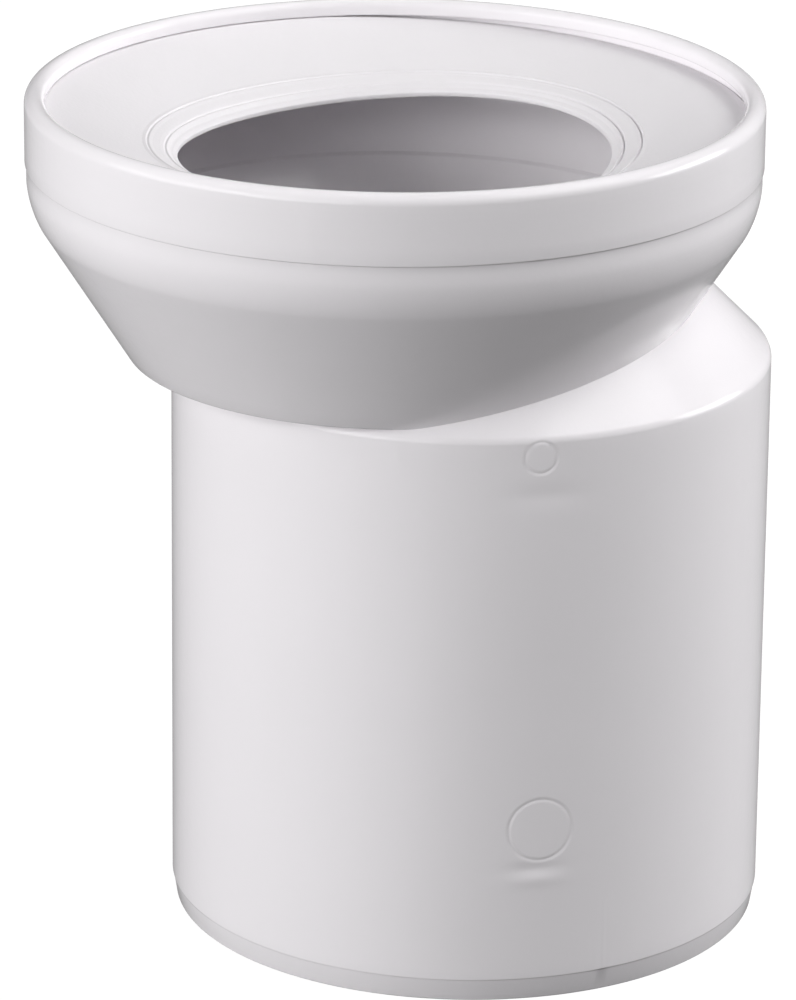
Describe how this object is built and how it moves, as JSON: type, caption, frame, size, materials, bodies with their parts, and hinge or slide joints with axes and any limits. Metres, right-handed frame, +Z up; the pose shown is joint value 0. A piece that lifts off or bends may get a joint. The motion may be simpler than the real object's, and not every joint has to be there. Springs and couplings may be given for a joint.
{
  "type": "offset toilet drain connector",
  "caption": "Upright drain connector with a plain spigot, a sloping shoulder and a wide cup set off to one side, with a soft lip seal in its mouth.",
  "frame": {"origin": "on the spigot's axis, at the spigot's lower end, where the bore of the spigot opens", "axes": "+Z up along the spigot's axis towards the cup, -X towards the side to which the cup is offset"},
  "size_m": [0.1368, 0.1336, 0.1564],
  "materials": {
    "moulded_plastic": "smooth moulded plastic with a satin gloss",
    "seal_rubber": "soft white rubber, satin"
  },
  "bodies": {
    "root": {"connector_body": "moulded_plastic", "lip_seal": "seal_rubber"}
  },
  "joints": []
}
